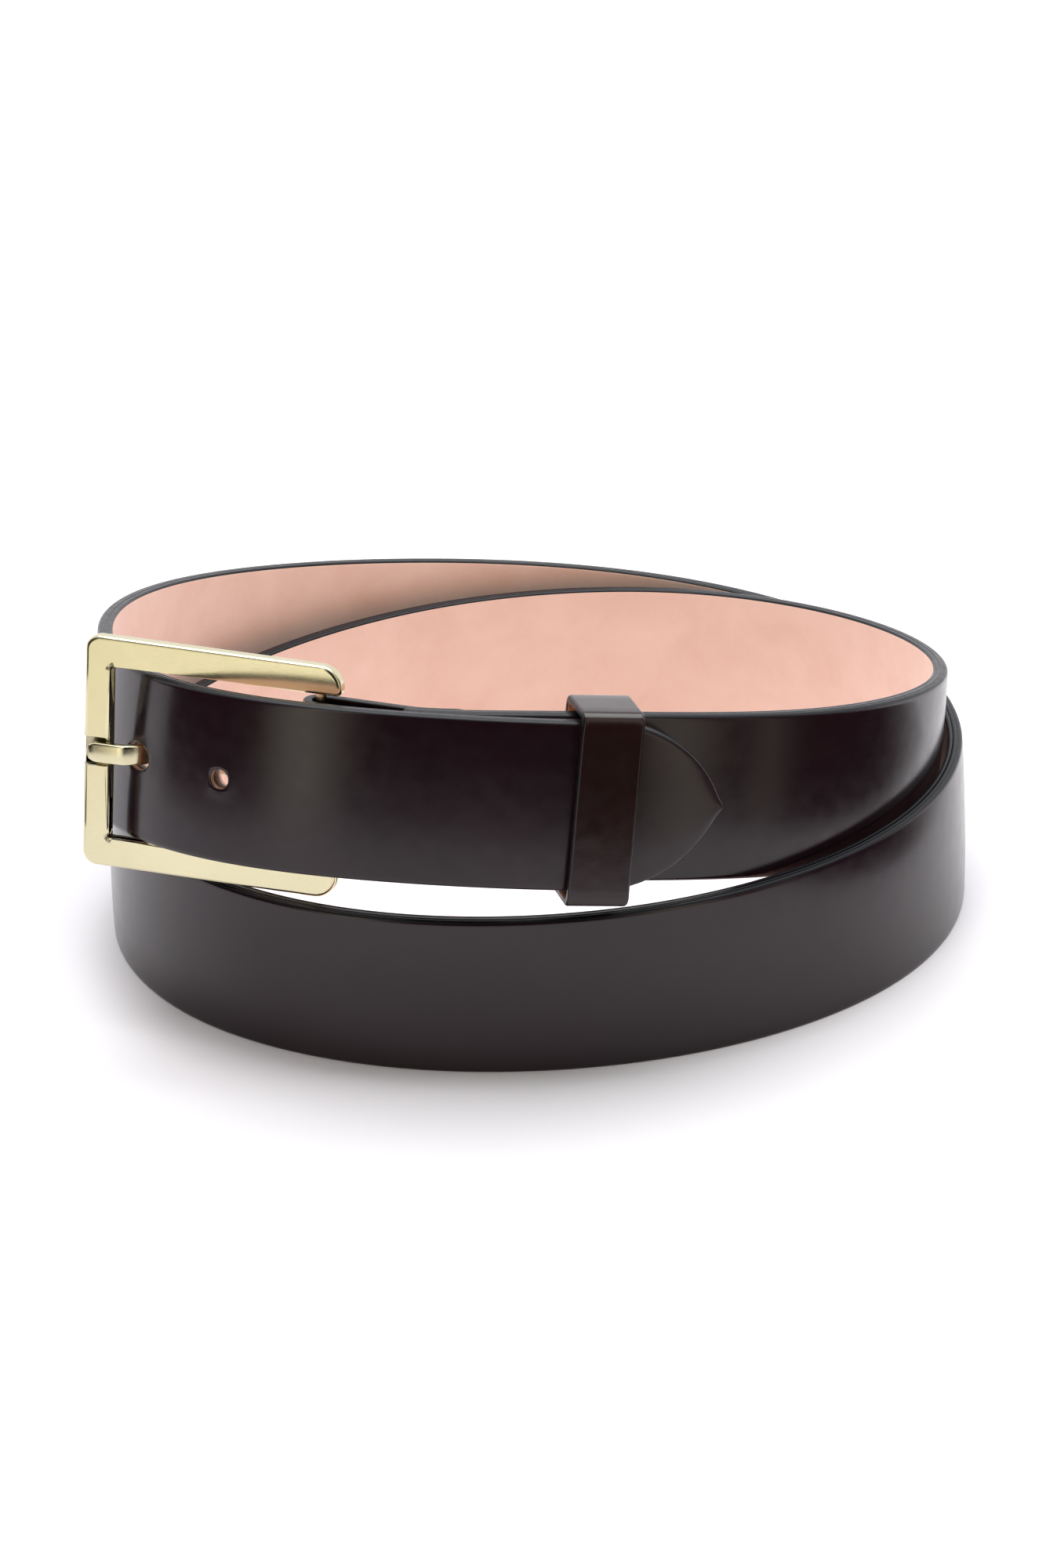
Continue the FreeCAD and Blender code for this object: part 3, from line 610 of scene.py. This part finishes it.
def buckle_frame_piece():
    inner = FRAME_HALF - ARM_WIDTH
    inside = BAR_REACH - BAR_WIDTH
    outline = [(-ARM_TAIL, FRAME_HALF), (BAR_REACH, FRAME_HALF), (BAR_REACH, -FRAME_HALF),
               (-ARM_TAIL, -FRAME_HALF), (-ARM_TAIL, -inner), (inside, -inner),
               (inside, inner), (-ARM_TAIL, inner)]
    bm = bmesh.new()
    bm.faces.new([bm.verts.new((x, y, -FRAME_THICK / 2)) for x, y in outline])
    round_corners(bm, [
        (lambda c: c.x > BAR_REACH - MM and abs(c.y) > FRAME_HALF - MM, CORNER_RADIUS),
        (lambda c: c.x < -ARM_TAIL + 0.1 * MM and abs(c.y) > FRAME_HALF - 0.1 * MM, TAIL_RADIUS),
        (lambda c: c.x < -ARM_TAIL + 0.1 * MM and abs(c.y) < inner + 0.1 * MM, TAIL_INNER_RADIUS),
        (lambda c: abs(c.x - inside) < 0.1 * MM and abs(abs(c.y) - inner) < 0.1 * MM,
         INNER_RADIUS)])
    cuts = [((inside - MM, 0, 0), (1, 0, 0)), ((inside, 0, 0), (1, 0, 0))]
    for side in (-1, 1):
        cuts += [((0, side * place, 0), (0, 1, 0)) for place in (SEAT_HALF, inner - MM, inner)]
    for place, square_to in cuts:
        bmesh.ops.bisect_plane(bm, geom=bm.verts[:] + bm.edges[:] + bm.faces[:],
                               plane_co=place, plane_no=square_to)
    lift = bmesh.ops.extrude_face_region(bm, geom=bm.faces[:], use_keep_orig=True)
    for item in lift["geom"]:
        if isinstance(item, bmesh.types.BMVert):
            item.co.z = FRAME_THICK / 2 - SEAT_DEPTH
    raised = [item for item in lift["geom"] if isinstance(item, bmesh.types.BMFace)
              and abs(item.calc_center_median().y) > SEAT_HALF]
    lift = bmesh.ops.extrude_face_region(bm, geom=raised)
    for item in lift["geom"]:
        if isinstance(item, bmesh.types.BMVert):
            item.co.z = FRAME_THICK / 2
    bmesh.ops.recalc_face_normals(bm, faces=bm.faces)
    weights = bm.edges.layers.float.new("bevel_weight_edge")
    for edge in bm.edges:
        flat = abs(edge.verts[0].co.z - edge.verts[1].co.z) < 1e-7
        sharp = edge.is_manifold and edge.calc_face_angle(0.0) > math.radians(60)
        seat = max(abs(vert.co.y) for vert in edge.verts) < SEAT_HALF * 1.01
        if flat and sharp:
            edge[weights] = SEAT_ROUND_WEIGHT if seat else 1.0
    bm.transform(pivot_frame)
    piece = finish_piece(bm, "buckle_frame_gold", [gold_plate], "buckle", ["buckle_frame"])
    bevel = piece.modifiers.new("rounding", "BEVEL")
    bevel.width = FACE_ROUND
    bevel.segments = 5
    bevel.use_clamp_overlap = False
    bevel.limit_method = "WEIGHT"
    bevel.harden_normals = True
    return piece


buckle_frame_piece()

# ---------------------------------------------------------------- prong
PRONG_HALF = 2.1 * MM
PRONG_EYE = 2.5 * MM
PIN_RADIUS = 1.15 * MM
PRONG_BEND = [(1.9, 0.0), (20.0, -1.65), (32.6, -2.80), (33.8, -2.86), (35.0, -2.75),
              (36.2, -2.2), (39.0, 0.1), (40.2, 1.0), (41.2, 1.5), (42.4, 1.66)]
PRONG_TIP = 49.2
PRONG_NOSE = 2.1
PRONG_END_HEIGHT = 1.62
PRONG_NOSE_HEIGHT = 1.6
PRONG_NOSE_THINNING = 0.35
PRONG_ROUND = 0.6 * MM
NOSE_SECTIONS = 7
EYE_SEGMENTS = 40


def prong_line():
    """The bent line's places and widths, closing in a full round at the tip."""
    line = [(reach, height, 1.0) for reach, height in PRONG_BEND]
    line.append((PRONG_TIP - PRONG_NOSE, PRONG_END_HEIGHT, 1.0))
    for number in range(1, NOSE_SECTIONS):
        turn = math.pi / 2 * number / NOSE_SECTIONS
        reach = PRONG_TIP - PRONG_NOSE * (1 - math.sin(turn))
        line.append((reach, PRONG_NOSE_HEIGHT, math.cos(turn)))
    return line


def prong_piece():
    """An eye round the pivot and a flat shank drawn out along its bent line."""
    bm = bmesh.new()
    line = prong_line()
    x0, z0 = line[0][:2]
    start = Matrix.Translation((x0 * MM, 0, z0 * MM)) @ Matrix.Rotation(math.pi / 2, 4, "Y")
    bmesh.ops.create_grid(bm, x_segments=1, y_segments=1, size=1.0, matrix=start)
    for vert in bm.verts:
        vert.co.y *= PRONG_HALF
        vert.co.z = z0 * MM + math.copysign(MM, vert.co.z - z0 * MM)
    bmesh.ops.bevel(bm, geom=bm.verts[:], offset=PRONG_ROUND, offset_type="OFFSET", segments=5,
                    profile=0.5, affect="VERTICES", material=-1)
    end = bm.faces[:][0]
    for (xa, _, sa), (xb, zb, sb) in zip(line, line[1:]):
        result = bmesh.ops.extrude_face_region(bm, geom=[end], use_keep_orig=(xa == x0))
        verts = [item for item in result["geom"] if isinstance(item, bmesh.types.BMVert)]
        end = [item for item in result["geom"] if isinstance(item, bmesh.types.BMFace)][0]
        middle = sum((vert.co for vert in verts), Vector()) / len(verts)
        bmesh.ops.translate(bm, verts=verts, vec=Vector((xb * MM, 0, zb * MM)) - middle)
        narrower = sb / sa
        thinner = 1 - PRONG_NOSE_THINNING * (1 - narrower)
        bmesh.ops.scale(bm, verts=verts, vec=(1, narrower, thinner),
                        space=Matrix.Translation((-xb * MM, 0, -zb * MM)))
    bmesh.ops.create_cone(bm, cap_ends=True, segments=EYE_SEGMENTS, radius1=PRONG_EYE,
                          radius2=PRONG_EYE, depth=2 * PRONG_HALF,
                          matrix=Matrix.Rotation(math.pi / 2, 4, "X"))
    caps = [face for face in bm.faces if len(face.verts) == EYE_SEGMENTS]
    bmesh.ops.inset_region(bm, faces=caps, thickness=PRONG_EYE - PIN_RADIUS)
    caps = [face for face in bm.faces if len(face.verts) == EYE_SEGMENTS]
    loops = [edge for face in caps for edge in face.edges]
    bmesh.ops.delete(bm, geom=caps, context="FACES_ONLY")
    bmesh.ops.bridge_loops(bm, edges=loops)
    bm.transform(pivot_frame)
    piece = finish_piece(bm, "prong_gold", [gold_plate], "prong_body", ["prong"])
    soften(piece, 0.3 * MM, 3, 60).use_clamp_overlap = False
    return piece


prong_piece()

# ---------------------------------------------------------------- keeper
KEEPER_HALF = 18.4 * MM
KEEPER_FRONT = 2.45 * MM
KEEPER_BACK = 9.45 * MM
KEEPER_THICK = 1.8 * MM
KEEPER_WIDTH = 12.6 * MM
KEEPER_BEND = 2.6 * MM
KEEPER_BUTT = 0.4 * MM
KEEPER_STRIPS = 10
BEND_STEPS = 6
PUCKER = 0.05 * MM


def draw_on(bm, edges, vec, steps):
    """Draws the strip on straight, in a few lengths."""
    for step in range(steps):
        result = bmesh.ops.extrude_edge_only(bm, edges=edges)
        edges = [item for item in result["geom"] if isinstance(item, bmesh.types.BMEdge)]
        verts = [item for item in result["geom"] if isinstance(item, bmesh.types.BMVert)]
        bmesh.ops.translate(bm, verts=verts, vec=vec / steps)
    return edges


def keeper_piece():
    """A strip bent round the strap, its ends meeting behind."""
    bm = bmesh.new()
    radius = KEEPER_BEND - KEEPER_THICK
    gap = KEEPER_BUTT / 2
    start = Matrix.Translation((0, -gap, -KEEPER_BACK))
    bmesh.ops.create_grid(bm, x_segments=KEEPER_STRIPS, y_segments=1, size=KEEPER_WIDTH / 2,
                          matrix=start)
    front_row = [vert for vert in bm.verts if vert.co.y > -gap]
    bmesh.ops.delete(bm, geom=front_row, context="VERTS")
    for vert in bm.verts:
        vert.co.y = -gap
    edges = bm.edges[:]
    rear = Vector((0, -(KEEPER_HALF - gap - radius), 0))
    rise = Vector((0, 0, KEEPER_FRONT + KEEPER_BACK - 2 * radius))
    across = Vector((0, 2 * (KEEPER_HALF - radius), 0))
    legs = [(rear, 6, (0, 0, radius)), (rise, 4, (0, radius, 0)), (across, 24, (0, 0, -radius)),
            (-rise, 4, (0, -radius, 0)), (rear, 6, None)]
    for leg, steps, to_centre in legs:
        edges = draw_on(bm, edges, leg, steps)
        if to_centre:
            at = edges[0].verts[0].co + Vector(to_centre)
            result = bmesh.ops.spin(bm, geom=edges, cent=at, axis=(1, 0, 0), angle=-math.pi / 2,
                                    steps=BEND_STEPS, use_merge=False)
            edges = [item for item in result["geom_last"] if isinstance(item, bmesh.types.BMEdge)]
    bmesh.ops.remove_doubles(bm, verts=bm.verts[:], dist=0.001 * MM)
    for vert in bm.verts:
        around = vert.co.y / MM * 1.1 + vert.co.z / MM * 0.7
        pucker = PUCKER * math.sin(vert.co.x / MM * 2.3) * math.sin(around)
        near_bend = max(0.0, 1 - abs(KEEPER_HALF - abs(vert.co.y)) / (5 * MM))
        vert.co.z += pucker * near_bend
    bm.transform(keeper_frame)
    return finish_piece(bm, "keeper_leather_loop", [keeper_leather, flesh_leather, edge_paint],
                        "keeper", ["keeper_band"])


keeper_loop = keeper_piece()
thicken(keeper_loop, KEEPER_THICK, 1.0)
soften(keeper_loop, 0.6 * MM, 4, 50.0)

# ---------------------------------------------------------------- carried-over CAD nodes
for node, material in (("pivot_bar", gold_plate), ("chape_posts", screw_plate),
                       ("chape_screws", screw_plate), ("keeper_staple", wire_steel)):
    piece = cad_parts[node]
    piece.data.materials.clear()
    piece.data.materials.append(material)

# ---------------------------------------------------------------- stage, light, camera
FLOOR_OUTLINE = [(3.0, 0.05), (3.0, 3.0), (-3.0, 3.0), (-3.0, -0.02), (-0.305, -0.05),
                 (-0.29, -0.27), (-0.22, -0.375), (-0.10, -0.412), (0.02, -0.37),
                 (0.105, -0.275), (0.142, -0.16), (0.146, 0.05)]


def build_floor():
    """A pale table top with a rounded front, and the studio dark beyond it."""
    bm = bmesh.new()
    bm.faces.new([bm.verts.new((x, y, 0.0)) for x, y in FLOOR_OUTLINE])
    mesh = bpy.data.meshes.new("studio_floor")
    bm.to_mesh(mesh)
    bm.free()
    material, nodes, links, shader = new_material("studio_white")
    set_values(shader, Base_Color=(0.93, 0.915, 0.96, 1), Roughness=0.5)
    mesh.materials.append(material)
    floor = bpy.data.objects.new("studio_floor", mesh)
    bpy.context.scene.collection.objects.link(floor)


def area_light(name, place, target, width, height, power):
    data = bpy.data.lights.new(name, "AREA")
    data.shape = "RECTANGLE"
    data.size = width
    data.size_y = height
    data.energy = power
    lamp = bpy.data.objects.new(name, data)
    bpy.context.scene.collection.objects.link(lamp)
    lamp.location = place
    lamp.rotation_euler = (Vector(target) - Vector(place)).to_track_quat("-Z", "Y").to_euler()
    return lamp


# Tall soft panels in front: bearing, half width in degrees, and colour.
PANELS = [
    (-34.0, 17.0, (1.50, 1.42, 1.20)), (44.0, 17.0, (1.0, 0.93, 0.78)),
    (68.0, 10.0, (0.5, 0.46, 0.38)),
]
STUDIO_DARK = (0.02, 0.018, 0.018)
STUDIO_WHITE = (1.0, 1.0, 1.02)


def band(nodes, links, azimuth, centre, half_width, color):
    """A tall soft panel standing at one bearing from straight in front."""
    away = nodes.new("ShaderNodeMath")
    away.operation = "SUBTRACT"
    away.inputs[1].default_value = math.radians(centre)
    links.new(azimuth, away.inputs[0])
    size = nodes.new("ShaderNodeMath")
    size.operation = "ABSOLUTE"
    links.new(away.outputs[0], size.inputs[0])
    fade = nodes.new("ShaderNodeMapRange")
    fade.interpolation_type = "SMOOTHSTEP"
    fade.inputs["From Min"].default_value = math.radians(half_width)
    fade.inputs["From Max"].default_value = 0.0
    links.new(size.outputs[0], fade.inputs["Value"])
    return ramp(nodes, links, fade.outputs["Result"], [(0.0, (0, 0, 0)), (1.0, color)])


def add_colors(nodes, links, first, second):
    both = nodes.new("ShaderNodeVectorMath")
    both.operation = "ADD"
    links.new(first, both.inputs[0])
    links.new(second, both.inputs[1])
    return both.outputs[0]


def build_world():
    """White behind and overhead; a dark studio with tall warm panels in front."""
    world = bpy.data.worlds.new("studio")
    bpy.context.scene.world = world
    world.use_nodes = True
    nodes, links = world.node_tree.nodes, world.node_tree.links
    background = nodes["Background"]
    direction = nodes.new("ShaderNodeTexCoord").outputs["Generated"]
    tilt = nodes.new("ShaderNodeVectorMath")
    tilt.operation = "DOT_PRODUCT"
    tilt.inputs[1].default_value = (0.0, 0.86, 0.51)
    links.new(direction, tilt.inputs[0])
    shade = nodes.new("ShaderNodeMapRange")
    shade.interpolation_type = "SMOOTHSTEP"
    shade.inputs["From Min"].default_value = 0.05
    shade.inputs["From Max"].default_value = 0.45
    links.new(tilt.outputs["Value"], shade.inputs["Value"])
    tone = ramp(nodes, links, shade.outputs["Result"], [(0.0, STUDIO_DARK), (1.0, STUDIO_WHITE)])
    split = nodes.new("ShaderNodeSeparateXYZ")
    links.new(direction, split.inputs[0])
    ahead = nodes.new("ShaderNodeMath")
    ahead.operation = "MULTIPLY"
    ahead.inputs[1].default_value = -1.0
    links.new(split.outputs["Y"], ahead.inputs[0])
    bearing = nodes.new("ShaderNodeMath")
    bearing.operation = "ARCTAN2"
    links.new(split.outputs["X"], bearing.inputs[0])
    links.new(ahead.outputs[0], bearing.inputs[1])
    for centre, half_width, color in PANELS:
        panel = band(nodes, links, bearing.outputs[0], centre, half_width, color)
        tone = add_colors(nodes, links, tone, panel)
    seen = nodes.new("ShaderNodeLightPath").outputs["Is Camera Ray"]
    mix = nodes.new("ShaderNodeMix")
    mix.data_type = "RGBA"
    links.new(seen, mix.inputs["Factor"])
    links.new(tone, mix.inputs["A"])
    mix.inputs["B"].default_value = (1, 1, 1, 1)
    links.new(mix.outputs["Result"], background.inputs["Color"])
    background.inputs["Strength"].default_value = 1.15


CAMERA_LENS = 136.5
CAMERA_ELEVATION = math.radians(25.36)
CAMERA_DISTANCE = 1.241
LOOK_AT_HEIGHT = 0.0347


def build_camera():
    data = bpy.data.cameras.new("camera")
    data.lens = CAMERA_LENS
    data.sensor_width = 36.0
    data.clip_end = 50
    camera = bpy.data.objects.new("camera", data)
    bpy.context.scene.collection.objects.link(camera)
    target = Vector((-CENTRE[0], -CENTRE[1], LOOK_AT_HEIGHT))
    back = Vector((0, -math.cos(CAMERA_ELEVATION), math.sin(CAMERA_ELEVATION)))
    camera.location = target + back * CAMERA_DISTANCE
    camera.rotation_euler = (-back).to_track_quat("-Z", "Y").to_euler()
    bpy.context.scene.camera = camera


build_floor()
build_world()
build_camera()
area_light("overhead", (0.0, 0.25, 1.3), (0, 0, 0), 1.2, 1.0, 16.0)
bpy.context.scene.view_settings.view_transform = "Standard"
